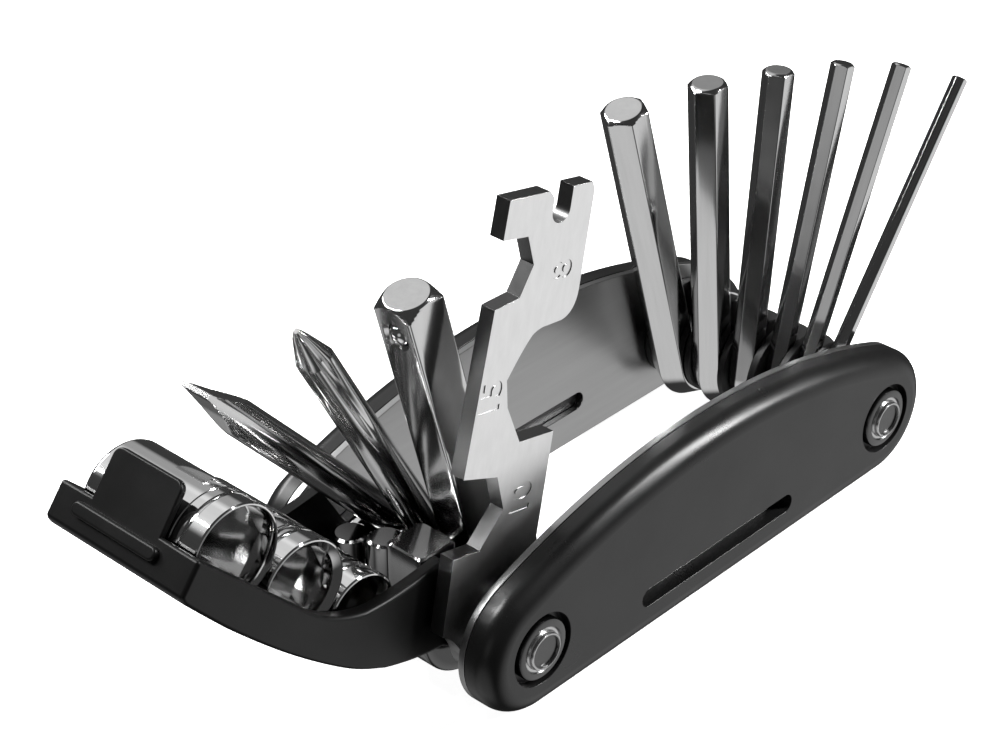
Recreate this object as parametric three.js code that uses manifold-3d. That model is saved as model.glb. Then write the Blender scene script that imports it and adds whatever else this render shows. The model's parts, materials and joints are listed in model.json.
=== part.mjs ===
// Folding multi-tool for a bicycle: two side plates hold two axles, and sixteen tool ends fan out between them.
// Millimetres. X runs along the plates, Y across them from the near plate to the far one, Z is up.
import * as THREE from 'three';
import { mergeVertices } from 'three/addons/utils/BufferGeometryUtils.js';
import Module from 'manifold-3d';

const wasm = await Module();
wasm.setup();

// ---- Driving dimensions ----

// Side plates: a flat lower edge, two round ends and an arched back
const PLATE_LENGTH = 91;
const PLATE_HEIGHT = 26;
const END_RADIUS = 9.6;
const END_X = PLATE_LENGTH / 2 - END_RADIUS;
const GAP = 32.9;
const LINER_THICK = 1.0;
const SHELL_THICK = 4.45;
const SHELL_WALL = 1.55;
const SHOULDER = 3.1;
const PLATE_GAP = 0.1;
const SLOT_LEFT = -16.7;
const SLOT_RIGHT = 14.7;
const SLOT_Z = 6.4;
const SLOT_WIDTH = 2.8;
const SLOT_DEPTH = 2.4;

// Axles, which run through the centres of the plates' round ends
const AXLE_RADIUS = 2.3;
const AXLE_Z = END_RADIUS;
const BORE_RADIUS = 2.6;
const HEAD_RADIUS = 4.35;
const HEAD_RIM_RADIUS = 2.65;
const POCKET_RADIUS = 5.2;
const POCKET_FLOOR = 1.4;
const HEAD_TOP = 2.15;
const HEAD_LIFT = 0.05;
const RIM_RISE = 0.35;
const NUT_BOSS = 1.0;
const SHANK_GAP = 0.4;
const LANE_GAP = 0.1;

// The whole object's middle, which its origin stands under
const CENTRE_X = -10.658;
const CENTRE_Y = 0;

// Rods: every shank ends in an eye bent round its axle
const EYE_BORE = 2.58;
const ARC_STEP = 22;

// Hex keys from the far plate to the near one: across flats, lane, tip distance from the axle, lean
const HEX_KEYS = [
  { name: 'hex_key_6mm', flats: 6, lane: 12.0, length: 47.6, angle: 105.5 },
  { name: 'hex_key_5mm', flats: 5, lane: 5.25, length: 47.5, angle: 94.1 },
  { name: 'hex_key_4mm', flats: 4, lane: -0.5, length: 47.6, angle: 84.9 },
  { name: 'hex_key_3mm', flats: 3, lane: -5.4, length: 48.0, angle: 76.0 },
  { name: 'hex_key_2p5mm', flats: 2.5, lane: -9.4, length: 48.2, angle: 66.1 },
  { name: 'hex_key_2mm', flats: 2, lane: -12.8, length: 48.4, angle: 53.7 },
];
const KEY_TURN = 250;
const SPACER_RADIUS = 7.5;

// Drivers on the left axle: lane, tip distance, lean, and the height of the cut end beside the axle
const DRIVER_DIAMETER = 4.8;
const DRIVER_EYE = 5.2;
const SLOTTED = { lane: 6.9, length: 48.6, angle: 131.9, leg: 6.9 };
const PHILLIPS = { lane: 0.4, length: 48.9, angle: 117.8, leg: 9.3 };
const EXTENSION = { lane: -6.55, length: 48.7, angle: 104.7, leg: 12.3 };
const DRIVE_SQUARE = 6.2;
const BALL_RADIUS = 1.5;
const BALL_PROUD = 0.6;
const BALL_DROP = 4.5;
const BALL_HOLE_DEPTH = 5.2;
const BALL_HOLE_GAP = 0.15;
const BALL_TRAVEL = 0.6;
const WASHER_RADIUS = 5.4;

// Flat wrench
const WRENCH_NEAR = -14.5;
const WRENCH_THICK = 2.2;
const WRENCH_ANGLE = 77.7;

// Socket tray: it spans the lanes of the three drivers
const TRAY_NEAR = -11.75;
const TRAY_FAR = 12.4;
const TRAY_WALL = 1.8;
const TRAY_ANGLE = 141;
const TRAY_END = 55.6;
const TRAY_END_WALL = 1.1;
const SOCKET_GAP = 0.3;
const SOCKET_NEAR = TRAY_NEAR + TRAY_WALL + 0.35;
const SOCKET_FAR = TRAY_FAR - TRAY_WALL - 0.35;
const DRIVE_HOLE = 6.5;
const SOCKETS = [
  { name: 'socket_10mm', flats: 10, radius: 6.6, along: 47.6, depth: 1.5 },
  { name: 'socket_9mm', flats: 9, radius: 6.5, along: 33.5, depth: 3.2 },
  { name: 'socket_8mm', flats: 8, radius: 5.5, along: 21.0, depth: 4.3 },
];

// ---- Materials ----

const BLACK = { color: 0x161616, roughness: 0.45, metalness: 0.0 };
const TRAY_BLACK = { color: 0x101010, roughness: 0.5, metalness: 0.0 };
const CHROME = { color: 0xc8c8c8, roughness: 0.16, metalness: 1.0 };
const STEEL = { color: 0x8c8c8c, roughness: 0.35, metalness: 1.0 };
const DARK_STEEL = { color: 0x3a3a3a, roughness: 0.3, metalness: 1.0 };

// ---- Geometry helpers ----

const radians = THREE.MathUtils.degToRad;

// Turns every face outward: a closed body's signed volume is positive
function facingOut(geometry) {
  const p = geometry.attributes.position;
  const index = geometry.index.array;
  const [a, b, c] = [new THREE.Vector3(), new THREE.Vector3(), new THREE.Vector3()];
  let volume = 0;
  for (let i = 0; i < index.length; i += 3) {
    a.fromBufferAttribute(p, index[i]);
    b.fromBufferAttribute(p, index[i + 1]);
    c.fromBufferAttribute(p, index[i + 2]);
    volume += a.dot(b.cross(c));
  }
  if (volume < 0) {
    for (let i = 0; i < index.length; i += 3) {
      [index[i + 1], index[i + 2]] = [index[i + 2], index[i + 1]];
    }
  }
  return geometry;
}

function bare(geometry) {
  const plain = geometry.clone();
  plain.deleteAttribute('normal');
  plain.deleteAttribute('uv');
  return facingOut(mergeVertices(plain, 1e-4));
}

function toSolid(geometry) {
  const g = bare(geometry);
  const mesh = new wasm.Mesh({
    numProp: 3,
    vertProperties: new Float32Array(g.attributes.position.array),
    triVerts: new Uint32Array(g.index.array),
  });
  return new wasm.Manifold(mesh);
}

function fromSolid(solid) {
  const mesh = solid.getMesh();
  const g = new THREE.BufferGeometry();
  g.setAttribute('position', new THREE.BufferAttribute(new Float32Array(mesh.vertProperties), 3));
  g.setIndex(new THREE.BufferAttribute(new Uint32Array(mesh.triVerts), 1));
  return g;
}

function cut(geometry, cutters) {
  return fromSolid(cutters.reduce((solid, c) => solid.subtract(toSolid(c)), toSolid(geometry)));
}

function join(geometries) {
  const [first, ...rest] = geometries.map(toSolid);
  return fromSolid(rest.reduce((solid, s) => solid.add(s), first));
}

// A closed skin over rings of points, each ring with the same number of points; the ends are fans
function skin(rings) {
  const count = rings[0].length;
  const points = rings.flat();
  const index = [];
  for (let r = 0; r + 1 < rings.length; r++) {
    for (let i = 0; i < count; i++) {
      const j = (i + 1) % count;
      const [a, b] = [r * count + i, r * count + j];
      index.push(a, b, b + count, a, b + count, a + count);
    }
  }
  for (const [ring, flip] of [[rings[0], true], [rings[rings.length - 1], false]]) {
    const start = flip ? 0 : (rings.length - 1) * count;
    const hub = points.length;
    const middle = ring.reduce((sum, p) => sum.add(p), new THREE.Vector3());
    points.push(middle.divideScalar(count));
    for (let i = 0; i < count; i++) {
      const j = (i + 1) % count;
      index.push(hub, start + (flip ? j : i), start + (flip ? i : j));
    }
  }
  const g = new THREE.BufferGeometry();
  g.setAttribute('position', new THREE.Float32BufferAttribute(points.flatMap((p) => p.toArray()), 3));
  g.setIndex(new THREE.BufferAttribute(new Uint32Array(index), 1));
  return facingOut(g);
}

// A flat shape drawn in X and Z, made solid between two values of Y
function slab(shape, y0, y1, curveSegments = 12) {
  const g = new THREE.ExtrudeGeometry(shape, { depth: y1 - y0, bevelEnabled: false, curveSegments });
  g.rotateX(Math.PI / 2);
  g.translate(0, y1, 0);
  return g;
}

// A round bar along Y
function bar(radius, y0, y1, x = 0, z = 0, sides = 24) {
  const g = new THREE.CylinderGeometry(radius, radius, y1 - y0, sides);
  g.translate(x, (y0 + y1) / 2, z);
  return g;
}

// A turned piece about the Y axis from a profile of radius and Y
function turned(profile, segments = 24) {
  return new THREE.LatheGeometry(profile.map(([r, y]) => new THREE.Vector2(r, y)), segments);
}

function circlePath(radius, x = 0, z = 0) {
  const path = new THREE.Path();
  path.absarc(x, z, radius, 0, 2 * Math.PI, true);
  return path;
}

// ---- Side plates ----

// The plate's outline, drawn inward by an inset
function plateShape(inset) {
  const radius = (END_X ** 2 + (PLATE_HEIGHT - END_RADIUS) ** 2 - END_RADIUS ** 2)
    / (2 * (PLATE_HEIGHT - 2 * END_RADIUS));
  const centreZ = PLATE_HEIGHT - radius;
  const tangent = Math.atan2(END_RADIUS - centreZ, END_X);
  const r = END_RADIUS - inset;
  const shape = new THREE.Shape();
  shape.moveTo(-END_X, inset);
  shape.lineTo(END_X, inset);
  shape.absarc(END_X, END_RADIUS, r, -Math.PI / 2, tangent, false);
  shape.absarc(0, centreZ, radius - inset, tangent, Math.PI - tangent, false);
  shape.absarc(-END_X, END_RADIUS, r, Math.PI - tangent, 1.5 * Math.PI, false);
  return shape;
}

function plateRing(inset, y) {
  const points = plateShape(inset).getPoints(9);
  const distinct = points.filter((p, i) => p.distanceTo(points[(i + 1) % points.length]) > 1e-6);
  return distinct.map((p) => new THREE.Vector3(p.x, y, p.y));
}

function slotShape() {
  const r = SLOT_WIDTH / 2;
  const shape = new THREE.Shape();
  shape.absarc(SLOT_RIGHT - r, SLOT_Z, r, -Math.PI / 2, Math.PI / 2, false);
  shape.absarc(SLOT_LEFT + r, SLOT_Z, r, Math.PI / 2, 1.5 * Math.PI, false);
  return shape;
}

const axles = [-END_X, END_X];

// side is -1 for the near plate and 1 for the far one; depth is measured outward from the plate's inner face
function liner(side) {
  const inner = side * GAP / 2;
  const [y0, y1] = [inner, inner + side * LINER_THICK].sort((a, b) => a - b);
  const shape = plateShape(0);
  for (const x of axles) shape.holes.push(circlePath(BORE_RADIUS, x, AXLE_Z));
  const g = slab(shape, y0, y1, 9);
  return cut(g, [slab(slotShape(), y0 - 1, y1 + 1, 6)]);
}

function shell(side) {
  const inner = GAP / 2 + LINER_THICK + PLATE_GAP;
  const outer = inner + SHELL_THICK;
  const rings = [plateRing(0, side * inner)];
  const depth = SHELL_THICK - SHELL_WALL;
  for (let i = 0; i <= 3; i++) {
    const angle = radians(90 * i / 3);
    const inset = SHOULDER * (1 - Math.cos(angle));
    rings.push(plateRing(inset, side * (inner + SHELL_WALL + depth * Math.sin(angle))));
  }
  const cutters = axles.flatMap((x) => [
    bar(BORE_RADIUS, -outer - 1, -inner + 1, x, AXLE_Z, 20),
    bar(POCKET_RADIUS, -outer - 1, -outer + POCKET_FLOOR, x, AXLE_Z, 24),
  ]);
  cutters.push(slab(slotShape(), -outer - 1, -outer + SLOT_DEPTH, 8));
  if (side > 0) cutters.forEach((c) => c.scale(1, -1, 1));
  return cut(skin(rings), cutters);
}

// A low round head with a raised rim, as radius and height above the pocket's floor
function headProfile() {
  const face = HEAD_TOP - RIM_RISE;
  return [
    [AXLE_RADIUS, LANE_GAP],
    [HEAD_RADIUS, LANE_GAP],
    [HEAD_RADIUS, face - 0.65],
    [HEAD_RADIUS - 0.5, face - 0.25],
    [HEAD_RIM_RADIUS, face - 0.25],
    [HEAD_RIM_RADIUS, HEAD_TOP],
    [HEAD_RIM_RADIUS - 0.4, HEAD_TOP],
    [HEAD_RIM_RADIUS - 0.4, face],
    [0, face],
  ];
}

// The bolt has its head in the near pocket and its shank through every lane
function bolt() {
  const outer = GAP / 2 + LINER_THICK + PLATE_GAP + SHELL_THICK;
  const seat = -(outer - POCKET_FLOOR - HEAD_LIFT);
  const end = outer - POCKET_FLOOR - NUT_BOSS - SHANK_GAP;
  return turned([
    [0, end],
    [AXLE_RADIUS - 0.3, end],
    [AXLE_RADIUS, end - 0.3],
    ...headProfile().map(([r, height]) => [r, seat - height]),
  ]);
}

// The nut closes the far end: a matching head with a short boss that meets the bolt's end
function nut() {
  const outer = GAP / 2 + LINER_THICK + PLATE_GAP + SHELL_THICK;
  const seat = outer - POCKET_FLOOR - HEAD_LIFT;
  return turned([
    [0, seat - NUT_BOSS],
    [AXLE_RADIUS, seat - NUT_BOSS],
    ...headProfile().map(([r, height]) => [r, seat + height]),
  ]);
}

function washer(radius, y0, y1) {
  return turned([[BORE_RADIUS, y0], [radius, y0], [radius, y1], [BORE_RADIUS, y1], [BORE_RADIUS, y0]], 20);
}

// ---- Bent rods ----

// Stations along a rod's centre line from the end of its eye to its tip, in X and Z about the axle.
// The shank stands on the side given (1 is +X) at the eye's radius, and a straight leg may follow the bend.
function eyeStations(eye, turn, leg, side) {
  const at = (degrees) => {
    const a = radians(degrees);
    return { x: side * eye * Math.cos(a), z: eye * Math.sin(a), dx: side * -Math.sin(a), dz: Math.cos(a) };
  };
  const stations = [];
  const steps = Math.ceil(turn / ARC_STEP);
  for (let i = 0; i <= steps; i++) stations.push(at(-turn + turn * i / steps));
  if (leg > 0) {
    const first = stations[0];
    stations.unshift({ ...first, x: first.x - leg * first.dx, z: first.z - leg * first.dz });
  }
  return stations;
}

function shankStation(eye, side, z) {
  return { x: side * eye, z, dx: 0, dz: 1 };
}

// A ring of points square to the rod at one station; a section point is across and along Y
function rodRing(station, section, lane) {
  return section.map(([a, b]) => new THREE.Vector3(
    station.x - a * station.dz,
    lane + b,
    station.z + a * station.dx,
  ));
}

function polygonSection(sides, cornerRadius, turn = 0) {
  return Array.from({ length: sides }, (_, i) => {
    const a = 2 * Math.PI * i / sides + turn;
    return [cornerRadius * Math.cos(a), cornerRadius * Math.sin(a)];
  });
}

const scaled = (section, s) => section.map(([a, b]) => [a * s, b * s]);

function hexKey({ flats, lane, length }) {
  const corner = flats / Math.sqrt(3);
  const eye = EYE_BORE + corner;
  const section = polygonSection(6, corner);
  const chamfer = 0.12 * flats;
  const rings = eyeStations(eye, KEY_TURN, 0, -1).map((s) => rodRing(s, section, lane));
  rings.push(rodRing(shankStation(eye, -1, length - chamfer), section, lane));
  rings.push(rodRing(shankStation(eye, -1, length), scaled(section, 0.78), lane));
  return skin(rings);
}

// How far the leg reaches past the bend so that its cut end stands level beside the axle
const legTurn = (angle) => 180 + (angle - 90);

function slottedDriver({ lane, length, angle, leg }) {
  const r = DRIVER_DIAMETER / 2;
  const round = polygonSection(16, r);
  const rings = eyeStations(DRIVER_EYE, legTurn(angle), leg, 1).map((s) => rodRing(s, round, lane));
  const blade = (half) => round.map(([a, b]) => [THREE.MathUtils.clamp(a, -half, half), b]);
  for (const [z, half] of [[length - 9, r], [length - 5, 1.15], [length - 0.5, 0.45], [length, 0.35]]) {
    rings.push(rodRing(shankStation(DRIVER_EYE, 1, z), blade(half), lane));
  }
  return skin(rings);
}

// Four long flutes deepen toward the point and leave four wings
function phillipsDriver({ lane, length, angle, leg }) {
  const r = DRIVER_DIAMETER / 2;
  const count = 24;
  const fluted = (radius, depth) => Array.from({ length: count }, (_, i) => {
    const a = 2 * Math.PI * i / count;
    const wing = Math.abs(Math.cos(2 * a)) ** 0.6;
    const rr = radius * (1 - depth * (1 - wing));
    return [rr * Math.cos(a + Math.PI / 4), rr * Math.sin(a + Math.PI / 4)];
  });
  const rings = eyeStations(DRIVER_EYE, legTurn(angle), leg, 1).map((s) => rodRing(s, fluted(r, 0), lane));
  const tip = [[22, r, 0], [16, r, 0.14], [7, r, 0.4], [5.4, r * 0.86, 0.5], [1.2, 1.0, 0.55], [0, 0.45, 0.2]];
  for (const [back, radius, depth] of tip) {
    rings.push(rodRing(shankStation(DRIVER_EYE, 1, length - back), fluted(radius, depth), lane));
  }
  return skin(rings);
}

const EXTENSION_EYE = EYE_BORE + DRIVE_SQUARE / 2;
const BALL_Z = EXTENSION.length - BALL_DROP;
const SQUARE_FACE_X = EXTENSION_EYE - DRIVE_SQUARE / 2;

// A square with its four edges broken, then a round chamfer at the drive end and a blind hole for the ball
function extensionBar({ lane, length, angle, leg }) {
  const half = DRIVE_SQUARE / 2;
  const edge = 0.35;
  const square = [[half, -half + edge], [half, half - edge], [half - edge, half], [-half + edge, half],
    [-half, half - edge], [-half, -half + edge], [-half + edge, -half], [half - edge, -half]];
  const rings = eyeStations(EXTENSION_EYE, legTurn(angle), leg, 1).map((s) => rodRing(s, square, lane));
  rings.push(rodRing(shankStation(EXTENSION_EYE, 1, length - 1.5), square, lane));
  rings.push(rodRing(shankStation(EXTENSION_EYE, 1, length), scaled(square, 0.74), lane));
  const holeRadius = BALL_RADIUS + BALL_HOLE_GAP;
  const hole = new THREE.CylinderGeometry(holeRadius, holeRadius, 2 * BALL_HOLE_DEPTH, 16);
  hole.rotateZ(Math.PI / 2);
  hole.translate(SQUARE_FACE_X, lane, BALL_Z);
  return cut(skin(rings), [hole]);
}

function ball() {
  const g = new THREE.SphereGeometry(BALL_RADIUS, 12, 8);
  g.translate(SQUARE_FACE_X + BALL_RADIUS - BALL_PROUD, EXTENSION.lane, BALL_Z);
  return g;
}

// The spring behind the ball, a helix of thin wire along X, clear of the ball's whole travel
function ballSpring() {
  const start = SQUARE_FACE_X - BALL_PROUD + 2 * BALL_RADIUS + BALL_TRAVEL + 0.1;
  const end = SQUARE_FACE_X + BALL_HOLE_DEPTH - 0.2;
  const turns = 3;
  const steps = turns * 8;
  const wire = 0.16;
  const coil = 1.05;
  const rings = [];
  for (let i = 0; i <= steps; i++) {
    const a = 2 * Math.PI * turns * i / steps;
    const x = start + wire + (end - start - 2 * wire) * i / steps;
    const out = new THREE.Vector3(0, Math.cos(a), Math.sin(a));
    const centre = new THREE.Vector3(x, EXTENSION.lane, BALL_Z).addScaledVector(out, coil);
    rings.push(polygonSection(4, wire).map(([p, q]) => centre.clone().addScaledVector(out, p)
      .add(new THREE.Vector3(q, 0, 0))));
  }
  return skin(rings);
}

// ---- Flat wrench: spoke slot on top, 8 and 10 mm jaws on the left edge, 15 mm jaw on the right ----

function wrench() {
  const s = new THREE.Shape();
  s.moveTo(4.6, 11.6);
  s.lineTo(4.6, 26.2);
  s.lineTo(-1.7, 26.2);
  s.lineTo(-5.0, 31.6);
  s.lineTo(-5.9, 35.4);
  s.quadraticCurveTo(-3.6, 39.4, -2.4, 40.6);
  s.quadraticCurveTo(-1.4, 41.4, 0.2, 41.4);
  s.lineTo(2.7, 41.6);
  s.quadraticCurveTo(5.0, 42.2, 5.1, 45.2);
  s.lineTo(5.1, 58.2);
  s.lineTo(4.5, 59.2);
  s.lineTo(1.0, 59.2);
  s.lineTo(1.0, 56.4);
  s.absarc(-0.6, 56.4, 1.6, 0, -Math.PI, true);
  s.lineTo(-2.2, 58.2);
  s.lineTo(-3.2, 59.2);
  s.lineTo(-10.2, 59.2);
  s.lineTo(-10.4, 54.2);
  s.lineTo(-6.0, 54.0);
  s.lineTo(-4.2, 50.1);
  s.lineTo(-5.9, 46.2);
  s.lineTo(-10.1, 45.4);
  s.lineTo(-11.2, 23.4);
  s.lineTo(-4.9, 22.2);
  s.lineTo(-2.8, 17.2);
  s.lineTo(-6.2, 12.4);
  s.lineTo(-10.9, 12.4);
  s.lineTo(-10.7, 1.5);
  s.quadraticCurveTo(-8.0, 0.4, -6.4, -2.4);
  s.absarc(0, 0, 6.8, radians(200), radians(358), false);
  s.quadraticCurveTo(6.6, 5.0, 4.6, 11.6);
  s.holes.push(circlePath(BORE_RADIUS));
  return slab(s, WRENCH_NEAR, WRENCH_NEAR + WRENCH_THICK, 6);
}

// ---- Socket tray ----

// A point in the tray's own terms: along it from the axle, and depth toward its outer floor
const trayPoint = (along, depth) => new THREE.Vector2(-depth, along);

// The tray's end and its long outer curve, which the walls and the floor share
function trayBack() {
  const s = new THREE.Shape();
  s.moveTo(...trayPoint(TRAY_END, 2.6));
  s.lineTo(...trayPoint(TRAY_END, 7.0));
  s.quadraticCurveTo(...trayPoint(TRAY_END, 7.8), ...trayPoint(53.8, 8.1));
  s.splineThru([trayPoint(44, 9.7), trayPoint(32, 10.8), trayPoint(21, 10.8), trayPoint(14.5, 9.7)]);
  return s;
}

function trayWall() {
  const s = trayBack();
  s.quadraticCurveTo(...trayPoint(9.5, 8.0), ...trayPoint(5.4, 5.3));
  s.absarc(0, 0, 5.6, radians(150), radians(425), false);
  s.lineTo(...trayPoint(13.0, -5.4));
  s.quadraticCurveTo(...trayPoint(18.5, 0.6), ...trayPoint(23.0, 3.4));
  s.quadraticCurveTo(...trayPoint(28.0, 5.6), ...trayPoint(33.0, 5.2));
  return s;
}

// The floor between the walls starts clear of the rods' eyes
function trayFloor() {
  const s = trayBack();
  s.lineTo(...trayPoint(14.5, 7.2));
  s.lineTo(...trayPoint(17, 6.6));
  s.lineTo(...trayPoint(26.8, 6.4));
  s.lineTo(...trayPoint(40.6, 5.4));
  s.lineTo(...trayPoint(TRAY_END - TRAY_END_WALL, 4.6));
  s.lineTo(...trayPoint(TRAY_END - TRAY_END_WALL, 2.6));
  return s;
}

function tray() {
  const near = slab(trayWall(), TRAY_NEAR, TRAY_NEAR + TRAY_WALL, 5);
  const far = slab(trayWall(), TRAY_FAR - TRAY_WALL, TRAY_FAR, 5);
  const floor = slab(trayFloor(), TRAY_NEAR + 0.5, TRAY_FAR - 0.5, 5);
  const tab = new THREE.Shape();
  tab.moveTo(-5.0, 4);
  tab.lineTo(-5.0, -2.8);
  tab.quadraticCurveTo(-5.0, -4.0, -3.8, -4.0);
  tab.lineTo(5.6, -4.0);
  tab.quadraticCurveTo(6.8, -4.0, 6.8, -2.8);
  tab.lineTo(6.8, 4);
  const tabGeometry = new THREE.ExtrudeGeometry(tab, { depth: 1.0, bevelEnabled: false, curveSegments: 4 });
  tabGeometry.applyMatrix4(new THREE.Matrix4().set(
    0, -1, 0, 0,
    1, 0, 0, 0,
    0, 0, 1, TRAY_END - 1.0,
    0, 0, 0, 1,
  ));
  const rib = new THREE.BoxGeometry(1.3, 14.6, 1.8);
  rib.translate(-4.7, 1.2, TRAY_END - 0.1);
  const body = join([near, far, floor, tabGeometry, rib]);
  const cutters = SOCKETS.map(({ radius, along, depth }) => bar(
    radius + SOCKET_GAP, TRAY_NEAR + TRAY_WALL, TRAY_FAR - TRAY_WALL, -depth, along, 28));
  cutters.push(bar(BORE_RADIUS, TRAY_NEAR - 1, TRAY_FAR + 1, 0, 0, 20));
  return cut(body, cutters);
}

// A socket: a turned barrel with two grooves by its mouth, a hexagon bore and a square drive hole
function socket({ flats, radius }) {
  const length = SOCKET_FAR - SOCKET_NEAR;
  const barrel = turned([
    [0, 0], [radius - 0.45, 0], [radius, 0.45], [radius, 3.0], [radius - 0.3, 3.2], [radius - 0.3, 3.6],
    [radius, 3.8], [radius, length - 0.6], [radius - 0.6, length], [0, length],
  ], 28);
  const hexagon = new THREE.CylinderGeometry(flats / Math.sqrt(3), flats / Math.sqrt(3), 12, 6);
  hexagon.translate(0, 5, 0);
  const mouth = new THREE.CylinderGeometry(flats / 2 - 0.4, radius - 0.4, 2, 28);
  mouth.translate(0, 0.6, 0);
  const square = new THREE.BoxGeometry(DRIVE_HOLE, 12, DRIVE_HOLE);
  square.translate(0, length - 4, 0);
  return cut(barrel, [hexagon, mouth, square]);
}

// ---- Assembly ----

const object = new THREE.Group();
object.position.set(-CENTRE_X, -CENTRE_Y, 0);

function add(parent, name, geometry, look) {
  const mesh = new THREE.Mesh(bare(geometry), new THREE.MeshStandardMaterial(look));
  mesh.name = name;
  parent.add(mesh);
  return mesh;
}

// A group turned about an axle so that its own Z points along the tool
function pivot(x, angle) {
  const group = new THREE.Group();
  group.position.set(x, 0, AXLE_Z);
  group.rotation.y = radians(90 - angle);
  object.add(group);
  return group;
}

add(object, 'near_liner', liner(-1), STEEL);
add(object, 'far_liner', liner(1), STEEL);
add(object, 'near_shell', shell(-1), BLACK);
add(object, 'far_shell', shell(1), BLACK);

const ends = { left: -END_X, right: END_X };
for (const [side, x] of Object.entries(ends)) {
  add(object, `${side}_bolt`, bolt(), DARK_STEEL).position.set(x, 0, AXLE_Z);
  add(object, `${side}_nut`, nut(), DARK_STEEL).position.set(x, 0, AXLE_Z);
}

// Spacers fill the lanes between neighbouring pieces
const keyEdges = [
  GAP / 2,
  ...HEX_KEYS.flatMap(({ flats, lane }) => [lane + flats / 2, lane - flats / 2]),
  -GAP / 2,
];
for (let i = 0; i < keyEdges.length; i += 2) {
  const spacer = washer(SPACER_RADIUS, keyEdges[i + 1] + LANE_GAP, keyEdges[i] - LANE_GAP);
  add(object, `key_spacer_${i / 2 + 1}`, spacer, TRAY_BLACK).position.set(END_X, 0, AXLE_Z);
}

const driverHalf = DRIVER_DIAMETER / 2;
const washers = [
  ['near_washer', -GAP / 2, WRENCH_NEAR, CHROME],
  ['driver_washer_1', EXTENSION.lane + DRIVE_SQUARE / 2, PHILLIPS.lane - driverHalf, CHROME],
  ['driver_washer_2', PHILLIPS.lane + driverHalf, SLOTTED.lane - driverHalf, CHROME],
  ['driver_washer_3', SLOTTED.lane + driverHalf, TRAY_FAR - TRAY_WALL, CHROME],
  ['far_washer', TRAY_FAR, GAP / 2, TRAY_BLACK],
];
for (const [name, y0, y1, look] of washers) {
  const piece = washer(WASHER_RADIUS, y0 + LANE_GAP, y1 - LANE_GAP);
  add(object, name, piece, look).position.set(-END_X, 0, AXLE_Z);
}

for (const key of HEX_KEYS) add(pivot(END_X, key.angle), key.name, hexKey(key), CHROME);

add(pivot(-END_X, SLOTTED.angle), 'slotted_driver', slottedDriver(SLOTTED), CHROME);
add(pivot(-END_X, PHILLIPS.angle), 'phillips_driver', phillipsDriver(PHILLIPS), CHROME);

const extension = pivot(-END_X, EXTENSION.angle);
add(extension, 'extension_bar', extensionBar(EXTENSION), CHROME);
add(extension, 'detent_ball', ball(), STEEL);
add(extension, 'detent_spring', ballSpring(), STEEL);

add(pivot(-END_X, WRENCH_ANGLE), 'flat_wrench', wrench(), CHROME);

const trayGroup = pivot(-END_X, TRAY_ANGLE);
add(trayGroup, 'socket_tray', tray(), TRAY_BLACK);
for (const item of SOCKETS) {
  add(trayGroup, item.name, socket(item), CHROME).position.set(-item.depth, SOCKET_NEAR, item.along);
}

export default object;
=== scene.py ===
"""A folding bicycle multi-tool, opened out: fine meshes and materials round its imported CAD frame.

Shapes are drawn in millimetres and become metres when a mesh is made. A tool is drawn in its own frame:
its axle at the origin, +Z along the tool, +Y across the plates, and its object's matrix puts it in place."""

import json
import math

import bpy
import bmesh
from mathutils import Matrix, Vector


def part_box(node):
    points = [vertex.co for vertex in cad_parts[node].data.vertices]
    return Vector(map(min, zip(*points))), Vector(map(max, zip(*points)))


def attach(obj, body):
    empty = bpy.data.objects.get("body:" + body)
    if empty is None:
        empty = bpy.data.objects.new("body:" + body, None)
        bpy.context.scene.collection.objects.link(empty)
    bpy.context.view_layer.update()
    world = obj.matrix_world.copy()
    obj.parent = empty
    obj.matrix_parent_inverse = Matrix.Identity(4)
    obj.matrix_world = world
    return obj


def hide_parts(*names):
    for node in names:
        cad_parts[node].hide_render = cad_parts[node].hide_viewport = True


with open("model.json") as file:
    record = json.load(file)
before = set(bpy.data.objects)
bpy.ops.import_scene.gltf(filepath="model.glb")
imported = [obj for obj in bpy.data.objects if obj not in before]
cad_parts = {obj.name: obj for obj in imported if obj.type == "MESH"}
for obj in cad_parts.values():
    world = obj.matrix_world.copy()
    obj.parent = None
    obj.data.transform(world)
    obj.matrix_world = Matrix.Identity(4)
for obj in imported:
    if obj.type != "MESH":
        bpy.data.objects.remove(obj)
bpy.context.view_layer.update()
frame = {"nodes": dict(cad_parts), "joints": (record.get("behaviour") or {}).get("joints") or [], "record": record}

MM = 0.001
RECORD = frame["record"]
MOUNTS = {m["name"]: m for m in RECORD["mounts"]}
JOINTS = {j["name"]: j for j in frame["joints"]}
BODY_OF = {n: body for body, nodes in RECORD["behaviour"]["bodies"].items() for n in nodes}


# ---- Sizes that the frame doesn't state, in millimetres and degrees ----

PLATE_END_RADIUS = 9.6
SHELL_WALL = 1.55
SHOULDER = 3.1
SLOT_LEFT, SLOT_RIGHT, SLOT_Z = -16.7, 14.7, 6.4
SLOT_WIDTH, SLOT_DEPTH = 2.8, 2.4
POCKET_RADIUS, POCKET_DEPTH = 5.2, 1.4
BORE_RADIUS = 2.6
AXLE_RADIUS = 2.3
HEAD_RADIUS = 4.35
HEAD_TOP = 2.15
HEAD_FACE = 1.8
GROOVE_OUTSIDE, GROOVE_FLOOR_OUTSIDE = 3.3, 3.1
GROOVE_FLOOR_INSIDE, GROOVE_INSIDE = 2.8, 2.66
BRIGHT_RING_START, BRIGHT_RING_FULL = 2.2, 2.32
EYE_BORE = 2.58
KEY_TURN = 250
DRIVER_RADIUS = 2.4
DRIVER_EYE = 5.2
DRIVE_HALF = 3.1
PHILLIPS_ANGLE = 117.8
PHILLIPS_LENGTH = 48.9
SLOTTED_LEG, PHILLIPS_LEG, EXTENSION_LEG = 6.9, 9.3, 12.3
TRAY_WALL = 1.8
TRAY_END = 55.6
TRAY_END_WALL = 1.1
SOCKET_GAP = 0.3
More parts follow.
